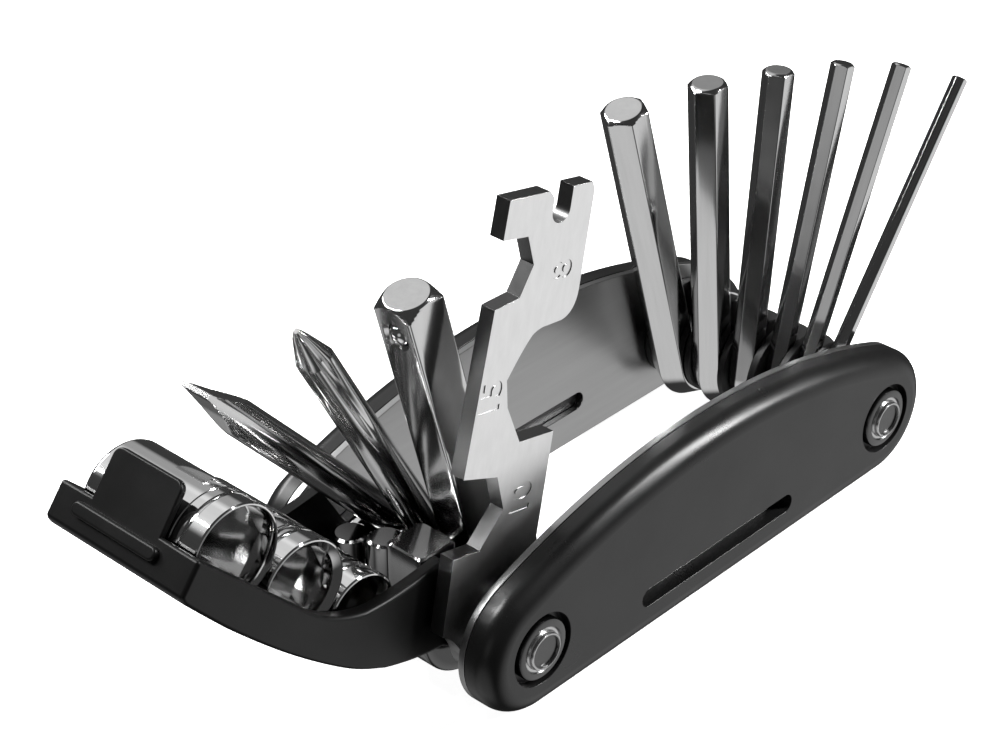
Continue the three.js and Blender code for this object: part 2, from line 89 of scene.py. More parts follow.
DRIVE_HOLE = 6.5
COUNTERBORE = 2.4
HEXAGON_START, HEXAGON_END, DRIVE_START = 2, 11, 10
FLOOR_HALF, FLOOR_DROP = 3000, 0.02


# ---- Places from the frame ----

def box_mm(node):
    low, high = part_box(node)
    return low / MM, high / MM


def middle(node):
    low, high = box_mm(node)
    return (low + high) / 2


LEFT = middle("left_bolt")
RIGHT = middle("right_bolt")
LEFT.y = RIGHT.y = 0.0


def tool_matrix(axle, direction):
    """The place of a tool's own frame: its origin on the axle and its +Z along the direction."""
    z = Vector(direction).normalized()
    y = Vector((0, 1, 0))
    x = y.cross(z)
    place = Matrix((x, y, z)).transposed().to_4x4()
    place.translation = axle * MM
    return place


def leaning(angle):
    return Vector((math.cos(math.radians(angle)), 0, math.sin(math.radians(angle))))


def reach(mount, axle):
    """How far a tool's end stands from its axle, along the tool."""
    return (Vector(mount["pos_m"]) / MM - axle).dot(Vector(mount["axis"]))


# ---- Mesh helpers ----

def make(name, verts, faces, matrix=None):
    mesh = bpy.data.meshes.new(name)
    mesh.from_pydata([Vector(v) * MM for v in verts], [], faces)
    bm = bmesh.new()
    bm.from_mesh(mesh)
    bmesh.ops.remove_doubles(bm, verts=bm.verts, dist=1e-7)
    bmesh.ops.recalc_face_normals(bm, faces=bm.faces)
    bm.to_mesh(mesh)
    bm.free()
    obj = bpy.data.objects.new(name, mesh)
    bpy.context.scene.collection.objects.link(obj)
    if matrix is not None:
        obj.matrix_world = matrix
    return obj


def skin(name, rings, matrix=None):
    """A closed skin over rings of points, each with the same number of points."""
    count = len(rings[0])
    verts = [p for ring in rings for p in ring]
    faces = [list(reversed(range(count)))]
    for r in range(len(rings) - 1):
        for i in range(count):
            j = (i + 1) % count
            a, b = r * count + i, r * count + j
            faces.append([a, b, b + count, a + count])
    faces.append([(len(rings) - 1) * count + i for i in range(count)])
    return make(name, verts, faces, matrix)


def turned(name, profile, segments=72, matrix=None):
    """A piece turned about Y from a closed loop, or a line between two points on the axis, of (radius, y)."""
    verts, rows = [], []
    for r, y in profile:
        if r < 1e-6:
            rows.append([len(verts)] * segments)
            verts.append((0, y, 0))
            continue
        rows.append(range(len(verts), len(verts) + segments))
        verts += [(r * math.cos(a), y, r * math.sin(a)) for a in turns(segments)]
    faces = []
    loop = profile[0][0] > 1e-6
    for i in range(len(rows) if loop else len(rows) - 1):
        upper, lower = rows[i], rows[(i + 1) % len(rows)]
        for k in range(segments):
            n = (k + 1) % segments
            corners = [upper[k], upper[n], lower[n], lower[k]]
            faces.append(list(dict.fromkeys(corners)))
    return make(name, verts, faces, matrix)


def turns(count, start=0.0):
    return [start + 2 * math.pi * i / count for i in range(count)]


def slab(name, outline, y0, y1, matrix=None):
    """A flat outline of (x, z) points made solid between two values of Y."""
    return skin(name, [[(x, y, z) for x, z in outline] for y in (y0, y1)], matrix)


def rod_y(radius, y0, y1, x=0.0, z=0.0, segments=64):
    return slab("cutter", [(x + radius * math.cos(a), z + radius * math.sin(a)) for a in turns(segments)],
                y0, y1)


def evaluated(obj):
    """Applies the object's modifiers to its mesh."""
    bpy.context.view_layer.update()
    graph = bpy.context.evaluated_depsgraph_get()
    mesh = bpy.data.meshes.new_from_object(obj.evaluated_get(graph))
    obj.modifiers.clear()
    obj.data = mesh
    return obj


def combine(obj, others, operation):
    for other in others:
        other.matrix_world = obj.matrix_world @ other.matrix_world
        modifier = obj.modifiers.new("combine", "BOOLEAN")
        modifier.operation = operation
        modifier.solver = "EXACT"
        modifier.object = other
        evaluated(obj)
        bpy.data.objects.remove(other)


def cut(obj, *cutters):
    combine(obj, cutters, "DIFFERENCE")


def join(obj, *others):
    combine(obj, others, "UNION")


def soften(obj, width, segments=2, angle=30):
    """Rounds the object's edges by a width in millimetres."""
    modifier = obj.modifiers.new("soften", "BEVEL")
    modifier.width = width * MM
    modifier.segments = segments
    modifier.limit_method = "ANGLE"
    modifier.angle_limit = math.radians(angle)
    modifier.use_clamp_overlap = True
    modifier.miter_outer = "MITER_ARC"
    return evaluated(obj)


def shade(obj, angle=32):
    for polygon in obj.data.polygons:
        polygon.use_smooth = True
    obj.data.set_sharp_from_angle(angle=math.radians(angle))
    modifier = obj.modifiers.new("even_normals", "WEIGHTED_NORMAL")
    modifier.keep_sharp = True
    modifier.weight = 80


def place(obj, node, material, angle=32):
    """Finishes a piece: it stands for its CAD node, rides on the node's body and takes its material."""
    shade(obj, angle)
    obj.data.materials.clear()
    obj.data.materials.append(material)
    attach(obj, BODY_OF[node])
    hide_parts(node)


# ---- Curves ----

def arc(cx, cz, radius, start, end, count):
    """Points on an arc, angles in degrees, both ends included."""
    angles = [math.radians(start + (end - start) * i / count) for i in range(count + 1)]
    return [(cx + radius * math.cos(a), cz + radius * math.sin(a)) for a in angles]


def bend(p0, control, p1, count=8):
    """Points on a quadratic curve after its first point."""
    points = []
    for i in range(1, count + 1):
        t = i / count
        w = ((1 - t) ** 2, 2 * t * (1 - t), t * t)
        points.append(tuple(w[0] * a + w[1] * b + w[2] * c for a, b, c in zip(p0, control, p1)))
    return points


def catmull_rom(t, a, b, c, d):
    """One coordinate between b and c, with its neighbours a and d."""
    square, cube = 2 * a - 5 * b + 4 * c - d, 3 * b - a - 3 * c + d
    return 0.5 * (2 * b + (c - a) * t + square * t ** 2 + cube * t ** 3)


def spline(points, count=10):
    """Points on a Catmull-Rom curve through the given points, after the first."""
    found = []
    for i in range(len(points) - 1):
        p0, p1 = points[max(i - 1, 0)], points[i]
        p2, p3 = points[i + 1], points[min(i + 2, len(points) - 1)]
        for k in range(1, count + 1):
            t = k / count
            found.append(tuple(catmull_rom(t, *along) for along in zip(p0, p1, p2, p3)))
    return found


# ---- Materials ----

def material(name, **settings):
    """A Principled material with constant settings on its own sockets; returns it with its node tree."""
    made = bpy.data.materials.new(name)
    made.use_nodes = True
    shader = made.node_tree.nodes["Principled BSDF"]
    for socket, value in settings.items():
        shader.inputs[socket.replace("_", " ")].default_value = value
    return made, made.node_tree, shader


def coordinates(tree, stretch=(1, 1, 1)):
    source = tree.nodes.new("ShaderNodeTexCoord")
    mapping = tree.nodes.new("ShaderNodeMapping")
    mapping.inputs["Scale"].default_value = stretch
    tree.links.new(source.outputs["Object"], mapping.inputs["Vector"])
    return mapping.outputs["Vector"]


def noise(tree, vector, scale, detail=3.0, roughness=0.55):
    node = tree.nodes.new("ShaderNodeTexNoise")
    node.inputs["Scale"].default_value = scale
    node.inputs["Detail"].default_value = detail
    node.inputs["Roughness"].default_value = roughness
    tree.links.new(vector, node.inputs["Vector"])
    return node.outputs["Fac"]


NOISE_LOW, NOISE_HIGH = 0.3, 0.7


def spread(tree, value, low, high, start=NOISE_LOW, end=NOISE_HIGH):
    """Maps a value from between start and end to between low and high."""
    node = tree.nodes.new("ShaderNodeMapRange")
    for socket, number in (("From Min", start), ("From Max", end), ("To Min", low), ("To Max", high)):
        node.inputs[socket].default_value = number
    tree.links.new(value, node.inputs["Value"])
    return node.outputs["Result"]


def tint(tree, value, dark, light):
    ramp = tree.nodes.new("ShaderNodeValToRGB")
    for element, position, colour in zip(ramp.color_ramp.elements, (NOISE_LOW, NOISE_HIGH), (dark, light)):
        element.position = position
        element.color = (*colour, 1)
    tree.links.new(value, ramp.inputs["Fac"])
    return ramp.outputs["Color"]


def bump(tree, shader, height, distance, normal=None):
    node = tree.nodes.new("ShaderNodeBump")
    node.inputs["Distance"].default_value = distance
    tree.links.new(height, node.inputs["Height"])
    if normal is not None:
        tree.links.new(normal, node.inputs["Normal"])
    tree.links.new(node.outputs["Normal"], shader.inputs["Normal"])
    return node.outputs["Normal"]


def grey(value):
    return (value, value, value)


GRAIN, SWELL = 0.006, 0.012


def moulded(name, dark, light, rough, gloss):
    """Black moulded plastic: a fine even grain over a slight swell, and slow changes of tone and gloss."""
    made, tree, shader = material(name, Specular_IOR_Level=gloss)
    vector = coordinates(tree)
    tree.links.new(tint(tree, noise(tree, vector, 55), grey(dark), grey(light)), shader.inputs["Base Color"])
    slow = spread(tree, noise(tree, vector, 90, 4), rough - 0.04, rough + 0.05)
    tree.links.new(slow, shader.inputs["Roughness"])
    fine = bump(tree, shader, noise(tree, vector, 5200, 2, 0.6), GRAIN * MM)
    bump(tree, shader, noise(tree, vector, 260, 2), SWELL * MM, fine)
    return made


def mixed(tree, amount, first, second):
    """One colour socket, changed to a constant grey where the amount is 1."""
    blend = tree.nodes.new("ShaderNodeMix")
    blend.data_type = "RGBA"
    blend.inputs[7].default_value = (*grey(second), 1)
    tree.links.new(amount, blend.inputs[0])
    tree.links.new(first, blend.inputs[6])
    return blend.outputs[2]


def edge_faces(tree):
    """1 on faces that run across a flat plate's thickness, 0 on its two flat sides."""
    facing = tree.nodes.new("ShaderNodeVectorMath")
    facing.operation = "DOT_PRODUCT"
    facing.inputs[1].default_value = (0, 1, 0)
    tree.links.new(tree.nodes.new("ShaderNodeTexCoord").outputs["Normal"], facing.inputs[0])
    size = tree.nodes.new("ShaderNodeMath")
    size.operation = "ABSOLUTE"
    tree.links.new(facing.outputs["Value"], size.inputs[0])
    return spread(tree, size.outputs["Value"], 1, 0, start=0.15, end=0.6)


def from_axle(tree):
    """The distance from the object's own Y axis, in metres."""
    distance = tree.nodes.new("ShaderNodeVectorMath")
    distance.operation = "LENGTH"
    tree.links.new(coordinates(tree, (1, 0, 1)), distance.inputs[0])
    return distance.outputs["Value"]


def plated(name, tone, rough, stretch=(1, 1, 0.08), ripple=0.02, scratch=0.0012, axle_shade=None, edges=None):
    """Chromed steel: slow ripples under the plating and fine marks drawn out along one axis.

    The heights of the ripples and marks are in millimetres. It may have painted shade near the axle, a darker
    colour that fades out between two distances from the axle, and a darker colour on its edge faces."""
    made, tree, shader = material(name, Metallic=1.0)
    even, drawn = coordinates(tree), coordinates(tree, stretch)
    colour = tint(tree, noise(tree, drawn, 900, 4), grey(tone * 0.93), grey(tone))
    if axle_shade is not None:
        # Painted shade: the colour darkens toward the axle, fading out between the two distances.
        dark, start, end = axle_shade
        colour = mixed(tree, spread(tree, from_axle(tree), 1, 0, start * MM, end * MM), colour, dark)
    # A darker colour on the faces across the plate's thickness.
    if edges is not None:
        colour = mixed(tree, edge_faces(tree), colour, edges)
    tree.links.new(colour, shader.inputs["Base Color"])
    tree.links.new(spread(tree, noise(tree, drawn, 1600, 5), rough * 0.95, rough * 1.06),
                   shader.inputs["Roughness"])
    waves = bump(tree, shader, noise(tree, even, 150, 1), ripple * MM)
    bump(tree, shader, noise(tree, drawn, 2600, 3), scratch * MM, waves)
    return made


def headed(name, dark, bright):
    """Blackened steel whose thin raised ring, a set distance from the object's Y axis, is coloured bright."""
    made = plated(name, dark, 0.24, (1, 1, 1))
    tree = made.node_tree
    shader = tree.nodes["Principled BSDF"]
    distance = from_axle(tree)
    # A bright colour band from the raised ring out to the groove's outer edge.
    inside = spread(tree, distance, 0, 1, BRIGHT_RING_START * MM, BRIGHT_RING_FULL * MM)
    outside = spread(tree, distance, 1, 0, GROOVE_FLOOR_OUTSIDE * MM, GROOVE_OUTSIDE * MM)
    band = tree.nodes.new("ShaderNodeMath")
    band.operation = "MULTIPLY"
    tree.links.new(inside, band.inputs[0])
    tree.links.new(outside, band.inputs[1])
    old = shader.inputs["Base Color"].links[0].from_socket
    tree.links.new(mixed(tree, band.outputs["Value"], old, bright), shader.inputs["Base Color"])
    return made


SHELL_BLACK = moulded("shell_satin_black", 0.006, 0.010, 0.30, 0.35)
TRAY_BLACK = moulded("tray_matte_black", 0.003, 0.005, 0.36, 0.2)
SPACER_BLACK = moulded("spacer_black", 0.003, 0.006, 0.42, 0.3)
TOOL_CHROME = plated("tool_chrome", 0.62, 0.10)
# The drivers and the bar get painted shade: their colour darkens toward the axle.
DRIVER_CHROME = plated("driver_chrome", 0.66, 0.12, ripple=0.004, scratch=0.0001, axle_shade=(0.06, 7.5, 21))
SOCKET_CHROME = plated("socket_chrome", 0.78, 0.07, (1, 0.1, 1))
# The wrench gets painted shade near the axle, and a darker colour on its edge faces.
WRENCH_CHROME = plated("wrench_satin_chrome", 0.84, 0.30, (1, 1, 0.3), 0.006, 0.0004, (0.25, 7, 24), 0.16)
LINER_STEEL = plated("liner_steel", 0.36, 0.30, (0.05, 1, 1), 0.004, 0.0004)
WASHER_CHROME = plated("washer_chrome", 0.7, 0.12, (1, 1, 1))
DARK_STEEL = headed("blackened_steel", 0.10, 0.5)
BALL_STEEL = plated("ball_steel", 0.75, 0.06, (1, 1, 1))


# ---- Side plates ----

PLATE_LOW, PLATE_HIGH = box_mm("near_liner")
PLATE_X = (PLATE_LOW.x + PLATE_HIGH.x) / 2
PLATE_HEIGHT = PLATE_HIGH.z - PLATE_LOW.z
END_X = RIGHT.x - PLATE_X
PLATE_PLACE = Matrix.Translation(Vector((PLATE_X, 0, 0)) * MM)


def plate_outline(inset):
    """The plate's outline drawn inward by an inset: a flat edge, two round ends and an arched back."""
    rise, fall = PLATE_HEIGHT - PLATE_END_RADIUS, PLATE_HEIGHT - 2 * PLATE_END_RADIUS
    radius = (END_X ** 2 + rise ** 2 - PLATE_END_RADIUS ** 2) / (2 * fall)
    centre_z = PLATE_HEIGHT - radius
    tangent = math.degrees(math.atan2(PLATE_END_RADIUS - centre_z, END_X))
    r = PLATE_END_RADIUS - inset
    points = arc(END_X, PLATE_END_RADIUS, r, -90, tangent, 44)
    points += arc(0, centre_z, radius - inset, tangent, 180 - tangent, 56)[1:]
    points += arc(-END_X, PLATE_END_RADIUS, r, 180 - tangent, 270, 44)[1:]
    return points


def slot_outline():
    r = SLOT_WIDTH / 2
    return arc(SLOT_RIGHT - r, SLOT_Z, r, -90, 90, 20) + arc(SLOT_LEFT + r, SLOT_Z, r, 90, 270, 20)


def liner(node):
    low, high = box_mm(node)
    obj = slab(f"{node}_plate", plate_outline(0), low.y, high.y, PLATE_PLACE)
    cutters = [rod_y(BORE_RADIUS, low.y - 1, high.y + 1, x, PLATE_END_RADIUS) for x in (-END_X, END_X)]
    cut(obj, *cutters, slab("cutter", slot_outline(), low.y - 1, high.y + 1))
    soften(obj, 0.14, 2)
    place(obj, node, LINER_STEEL)


def shell(side, node):
    """A dished moulding: an upright wall, a round shoulder and a flat face with two pockets and a slot."""
    low, high = box_mm(node)
    inner, outer = (high.y, low.y) if side < 0 else (low.y, high.y)
    depth = abs(outer - inner) - SHELL_WALL
    steps = 14
    rings = [[(x, inner, z) for x, z in plate_outline(0)]]
    for i in range(steps + 1):
        a = math.pi / 2 * i / steps
        y = inner + side * (SHELL_WALL + depth * math.sin(a))
        rings.append([(x, y, z) for x, z in plate_outline(SHOULDER * (1 - math.cos(a)))])
    obj = skin(f"{node}_moulding", rings, PLATE_PLACE)
    cutters = []
    for x in (-END_X, END_X):
        cutters.append(rod_y(BORE_RADIUS, *sorted((inner - side, outer + side)), x, PLATE_END_RADIUS))
        cutters.append(rod_y(POCKET_RADIUS, *sorted((outer - side * POCKET_DEPTH, outer + side)), x,
                             PLATE_END_RADIUS, 96))
    cutters.append(slab("cutter", slot_outline(), *sorted((outer - side * SLOT_DEPTH, outer + side))))
    cut(obj, *cutters)
    soften(obj, 0.34, 3, 40)
    place(obj, node, SHELL_BLACK)


for side_name, side in (("near", -1), ("far", 1)):
    liner(f"{side_name}_liner")
    shell(side, f"{side_name}_shell")


# ---- Axles, spacers and washers ----

def head_profile(seat, side):
    """A low head from its shank outward: a rounded flange, a groove, and a thin ring round a flat disc."""
    flange = HEAD_FACE - 0.25
    steps = [(AXLE_RADIUS, 0.1), (HEAD_RADIUS - 0.1, 0.1), (HEAD_RADIUS, 0.2), (HEAD_RADIUS, flange - 0.4),
             (HEAD_RADIUS - 0.12, flange - 0.12), (HEAD_RADIUS - 0.38, flange),
             (GROOVE_OUTSIDE, flange), (GROOVE_FLOOR_OUTSIDE, flange - 0.2),
             (GROOVE_FLOOR_INSIDE, flange - 0.2), (GROOVE_INSIDE, flange), (2.64, HEAD_TOP - 0.15),
             (2.56, HEAD_TOP - 0.03), (2.42, HEAD_TOP), (2.3, HEAD_TOP - 0.06), (2.26, HEAD_FACE + 0.05),
             (2.18, HEAD_FACE), (0, HEAD_FACE)]
    return [(r, seat + side * height) for r, height in steps]


def axle(name):
    bolt_low, bolt_high = box_mm(f"{name}_bolt")
    nut_low, nut_high = box_mm(f"{name}_nut")
    at = Matrix.Translation(middle(f"{name}_bolt") * Vector((1, 0, 1)) * MM)
    shank = [(0, bolt_high.y), (AXLE_RADIUS - 0.3, bolt_high.y), (AXLE_RADIUS, bolt_high.y - 0.3)]
    bolt = turned(f"{name}_bolt_turned", shank + head_profile(bolt_low.y + HEAD_TOP, -1), 96, at)
    place(bolt, f"{name}_bolt", DARK_STEEL)
    boss = [(0, nut_low.y), (AXLE_RADIUS - 0.2, nut_low.y), (AXLE_RADIUS, nut_low.y + 0.2)]
    nut = turned(f"{name}_nut_turned", boss + head_profile(nut_high.y - HEAD_TOP, 1), 96, at)
    place(nut, f"{name}_nut", DARK_STEEL)


def ring(node, finish):
    """A disc with a bore and slightly rounded rims, in its CAD node's box."""
    low, high = box_mm(node)
    at = Matrix.Translation(middle(node) * Vector((1, 0, 1)) * MM)
    r, e = (high.x - low.x) / 2, min(0.14, (high.y - low.y) / 5)
    profile = [(BORE_RADIUS, low.y), (r - e, low.y), (r - 0.3 * e, low.y + 0.3 * e), (r, low.y + e),
               (r, high.y - e), (r - 0.3 * e, high.y - 0.3 * e), (r - e, high.y), (BORE_RADIUS, high.y)]
    place(turned(f"{node}_disc", profile, 80, at), node, finish)


for axle_name in ("left", "right"):
    axle(axle_name)
for i in range(1, 8):
    ring(f"key_spacer_{i}", SPACER_BLACK)
ring("far_washer", SPACER_BLACK)
for washer_name in ("near_washer", "driver_washer_1", "driver_washer_2", "driver_washer_3"):
    ring(washer_name, WASHER_CHROME)


# ---- Bent rods ----

def polygon(sides, half_width, rounding, start=0.0, along=6):
    """A rounded polygon section as (a, b) points, with points along its flats for a round chamfer to cut."""
    corner = half_width / math.cos(math.pi / sides)
    points, previous = [], None
    for turn in turns(sides, start):
        centre = corner - rounding / math.cos(math.pi / sides)
        around = [turn + math.radians(180 / sides * k / 2) for k in (-2, -1, 0, 1, 2)]
        group = [(centre * math.cos(turn) + rounding * math.cos(a),
                  centre * math.sin(turn) + rounding * math.sin(a)) for a in around]
        if previous:
            points += between(previous, group[0], along)
        points += group
        previous = group[-1]
    return points + between(previous, points[0], along)


def between(p, q, count):
    return [tuple(a + (b - a) * i / count for a, b in zip(p, q)) for i in range(1, count)]


def circle(radius, count=64):
    return [(radius * math.cos(a), radius * math.sin(a)) for a in turns(count)]


def within(section, radius):
    """The section cut to a circle."""
    found = []
    for a, b in section:
        shrink = min(1.0, radius / max(math.hypot(a, b), 1e-9))
        found.append((a * shrink, b * shrink))
    return found


EYE_STEP = 4
CUT_EDGE, CUT_SHRINK = 0.25, 0.94


def rod_rings(eye, side, turn, leg, section, shank):
    """Rings along a rod: a straight leg, the eye bent round the axle, then the shank's (z, section) list."""
    count = round(turn / EYE_STEP)
    rings = []
    for i in range(count + 1):
        a = math.radians(-turn + turn * i / count)
        x, z = side * eye * math.cos(a), eye * math.sin(a)
        dx, dz = side * -math.sin(a), math.cos(a)
        rings.append((x, z, dx, dz, section))
    x, z, dx, dz, _ = rings[0]
    if leg > 0:
        rings.insert(0, (x - leg * dx, z - leg * dz, dx, dz, section))
    x, z, dx, dz, _ = rings[0]
    inner = within(section, max(math.hypot(*p) for p in section) - CUT_EDGE)
    shrunk = [(a * CUT_SHRINK, b * CUT_SHRINK) for a, b in inner]
    rings[0] = (x + CUT_EDGE * dx, z + CUT_EDGE * dz, dx, dz, section)
    rings.insert(0, (x, z, dx, dz, shrunk))
    rings += [(side * eye, height, 0, 1, part) for height, part in shank]
    return [[(x - a * dz, b, z + a * dx) for a, b in part] for x, z, dx, dz, part in rings]


CONE_LEAD = 0.02
TIP_DROP, TIP_INSET = 0.05, 0.12


def chamfered(length, section, face, slope, steps=6):
    """The shank's end: a cone cuts the section's corners down to a round face with a broken edge."""
    reach_out = max(math.hypot(*p) for p in section)
    depth = (reach_out - face) / slope
    rings = [(length - depth - CONE_LEAD, section)]
    for i in range(steps):
        back = depth * (1 - i / steps)
        rings.append((length - back, within(section, face + back * slope)))
    rings.append((length - TIP_DROP, within(section, face)))
    rings.append((length, within(section, face - TIP_INSET)))
    return rings


def lane_matrix(node, axle, direction):
    at = tool_matrix(axle, direction)
    return at @ Matrix.Translation((0, middle(node).y * MM, 0))


KEY_ROUNDING, KEY_FACE, KEY_SLOPE = 0.05, 0.43, 1.3


def hex_key(size):
    """A bent hexagon rod. Its rounding and its end face's radius are shares of its width across the flats."""
    node = f"hex_key_{size}"
    mount = MOUNTS[f"hex_tip_{size}"]
    low, high = box_mm(node)
    flats = high.y - low.y
    eye = EYE_BORE + flats / math.sqrt(3)
    section = polygon(6, flats / 2, KEY_ROUNDING * flats)
    shank = chamfered(reach(mount, RIGHT), section, KEY_FACE * flats, KEY_SLOPE)
    rings = rod_rings(eye, -1, KEY_TURN, 0, section, shank)
    obj = skin(f"{node}_rod", rings, lane_matrix(node, RIGHT, mount["axis"]))
    place(obj, node, TOOL_CHROME, 24)


for key_size in ("6mm", "5mm", "4mm", "3mm", "2p5mm", "2mm"):
    hex_key(key_size)


def leg_turn(direction):
    """How far a driver's leg reaches past its bend so that its cut end stands level beside the axle."""
    return 90 + math.degrees(math.atan2(direction[2], direction[0]))


def slotted_driver():
    """Two flats draw a round shank down to a thin blade. A stop is (back from the tip, half thickness)."""
    node, mount = "slotted_driver", MOUNTS["slotted_tip"]
    length = reach(mount, LEFT)
    section = circle(DRIVER_RADIUS)
    shank = [(length / 2, section)]
    stops = [(9.2, DRIVER_RADIUS), (4.6, 1.15), (0.6, 0.38), (0.05, 0.36), (0, 0.30)]
    for (back, half), (back2, half2) in zip(stops, stops[1:]):
        steps = max(1, round((back - back2) / 0.6))
        for i in range(steps):
            t = i / steps
            shank.append((length - back - (back2 - back) * t, flattened(section, half + (half2 - half) * t)))
    shank.append((length, flattened(section, stops[-1][1])))
    rings = rod_rings(DRIVER_EYE, 1, leg_turn(mount["axis"]), SLOTTED_LEG, section, shank)
    obj = skin(f"{node}_rod", rings, lane_matrix(node, LEFT, mount["axis"]))
    place(obj, node, DRIVER_CHROME, 24)


def flattened(section, half):
    """The section cut by two planes across it, each half a thickness from its middle."""
    return [(max(-half, min(half, a)), b) for a, b in section]


def phillips_driver():
    """Four long flutes deepen toward the point and leave four wings under a cone.

    A stop is (back from the tip, radius, flute depth as a share of the radius)."""
    node = "phillips_driver"
    count = 128

    def fluted(radius, depth):
        points = []
        for a in turns(count):
            t = max(0.0, min(1.0, (0.85 - abs(math.cos(2 * a))) / 0.7))
            r = radius * (1 - depth * t * t * (3 - 2 * t))
            points.append((r * math.cos(a + math.pi / 4), r * math.sin(a + math.pi / 4)))
        return points

    stops = [(26, DRIVER_RADIUS, 0.0), (22, DRIVER_RADIUS, 0.03), (16, DRIVER_RADIUS, 0.15),
             (10, DRIVER_RADIUS, 0.30), (5.5, DRIVER_RADIUS, 0.44), (5.4, DRIVER_RADIUS * 0.98, 0.45),
             (1.2, 1.0, 0.56), (1.15, 0.95, 0.56), (0, 0.45, 0.35)]
    shank = []
    for (back, r, d), (back2, r2, d2) in zip(stops, stops[1:]):
        steps = max(1, round((back - back2) / 0.8))
        for i in range(steps):
            t = i / steps
            shank.append((PHILLIPS_LENGTH - back - (back2 - back) * t,
                          fluted(r + (r2 - r) * t, d + (d2 - d) * t)))
    shank.append((PHILLIPS_LENGTH, fluted(stops[-1][1], stops[-1][2])))
    direction = leaning(PHILLIPS_ANGLE)
    rings = rod_rings(DRIVER_EYE, 1, leg_turn(direction), PHILLIPS_LEG, fluted(DRIVER_RADIUS, 0), shank)
    obj = skin(f"{node}_rod", rings, lane_matrix(node, LEFT, direction))
    place(obj, node, DRIVER_CHROME, 20)


DRIVE_ROUNDING, DRIVE_FACE = 0.42, 0.93
DRILL_RIM, DRILL_CLEARANCE, DRILL_RIM_DEPTH, DRILL_DEPTH = 0.55, 0.15, 0.4, 5


def extension_bar():
    """A bent square rod with a chamfered drive end, drilled in one side for the detent's ball."""
    node, mount = "extension_bar", MOUNTS["drive_square_end"]
    length = reach(mount, LEFT)
    eye = EYE_BORE + DRIVE_HALF
    section = polygon(4, DRIVE_HALF, DRIVE_ROUNDING, math.pi / 4, 10)
    shank = chamfered(length, section, DRIVE_HALF * DRIVE_FACE, 1.0, 8)
    rings = rod_rings(eye, 1, leg_turn(mount["axis"]), EXTENSION_LEG, section, shank)
    obj = skin(f"{node}_rod", rings, lane_matrix(node, LEFT, mount["axis"]))
    ball = (obj.matrix_world.inverted() @ (middle("detent_ball") * MM)) / MM
    low, high = box_mm("detent_ball")
    radius = (high.y - low.y) / 2
    face = eye - DRIVE_HALF
    rim, hole = radius + DRILL_RIM, radius + DRILL_CLEARANCE
    drill = turned("cutter", [(0, -1), (rim, -1), (rim, 0), (hole, DRILL_RIM_DEPTH), (hole, DRILL_DEPTH),
                              (0, DRILL_DEPTH)], 64)
    drill.matrix_world = (Matrix.Translation(Vector((face, 0, ball.z)) * MM)
                          @ Matrix.Rotation(-math.pi / 2, 4, "Z"))
    cut(obj, drill)
    place(obj, node, DRIVER_CHROME, 24)
    sphere = [(radius * math.sin(a), -radius * math.cos(a)) for a in [math.pi * i / 32 for i in range(33)]]
    sphere[0], sphere[-1] = (0, -radius), (0, radius)
    at = Matrix.Translation(middle("detent_ball") * MM)
    place(turned("detent_ball_sphere", sphere, 64, at), "detent_ball", BALL_STEEL)


slotted_driver()
phillips_driver()
extension_bar()


# ---- Flat wrench ----

def wrench_outline():
    """The spoke slot is on top, the 8 and 10 mm jaws on the left edge, and the 15 mm jaw on the right."""
    points = [(4.6, 11.6), (4.6, 26.2), (-1.7, 26.2), (-5.0, 31.6), (-5.9, 35.4)]
    points += bend((-5.9, 35.4), (-3.6, 39.4), (-2.4, 40.6))
    points += bend((-2.4, 40.6), (-1.4, 41.4), (0.2, 41.4))
    points += [(2.7, 41.6)]
    points += bend((2.7, 41.6), (5.0, 42.2), (5.1, 45.2))
    points += [(5.1, 58.2), (4.5, 59.2), (1.0, 59.2)]
    points += arc(-0.6, 56.4, 1.6, 0, -180, 16)
    points += [(-2.2, 58.2), (-3.2, 59.2), (-10.2, 59.2), (-10.4, 54.2), (-6.0, 54.0), (-4.2, 50.1),
               (-5.9, 46.2), (-10.1, 45.4), (-11.2, 23.4), (-4.9, 22.2), (-2.8, 17.2), (-6.2, 12.4),
               (-10.9, 12.4), (-10.7, 1.5)]
    points += bend((-10.7, 1.5), (-8.0, 0.4), (-6.4, -2.4))
    points += arc(0, 0, 6.8, 200, 358, 40)
    points += bend(points[-1], (6.6, 5.0), (4.6, 11.6))[:-1]
    return points


NUMERAL_DEPTH, NUMERAL_SWELL = 0.12, 0.09


def numeral(text, size, x, z, y):
    """A plain size number cut into the near face, upright when the wrench's tip points to the right."""
    curve = bpy.data.curves.new("numeral", "FONT")
    curve.body = text
    curve.size = size * MM
    curve.extrude = NUMERAL_DEPTH * MM
    curve.offset = NUMERAL_SWELL * MM
    curve.resolution_u = 4
    curve.align_x = curve.align_y = "CENTER"
    letters = bpy.data.objects.new("cutter", curve)
    bpy.context.scene.collection.objects.link(letters)
    graph = bpy.context.evaluated_depsgraph_get()
    mesh = bpy.data.meshes.new_from_object(letters.evaluated_get(graph))
    bpy.data.objects.remove(letters)
    bm = bmesh.new()
    bm.from_mesh(mesh)
    bmesh.ops.remove_doubles(bm, verts=bm.verts, dist=1e-7)
    bm.to_mesh(mesh)
    bm.free()
    obj = bpy.data.objects.new("cutter", mesh)
    bpy.context.scene.collection.objects.link(obj)
    obj.matrix_world = Matrix(((0, -1, 0, x * MM), (0, 0, -1, y * MM), (1, 0, 0, z * MM), (0, 0, 0, 1)))
    return obj


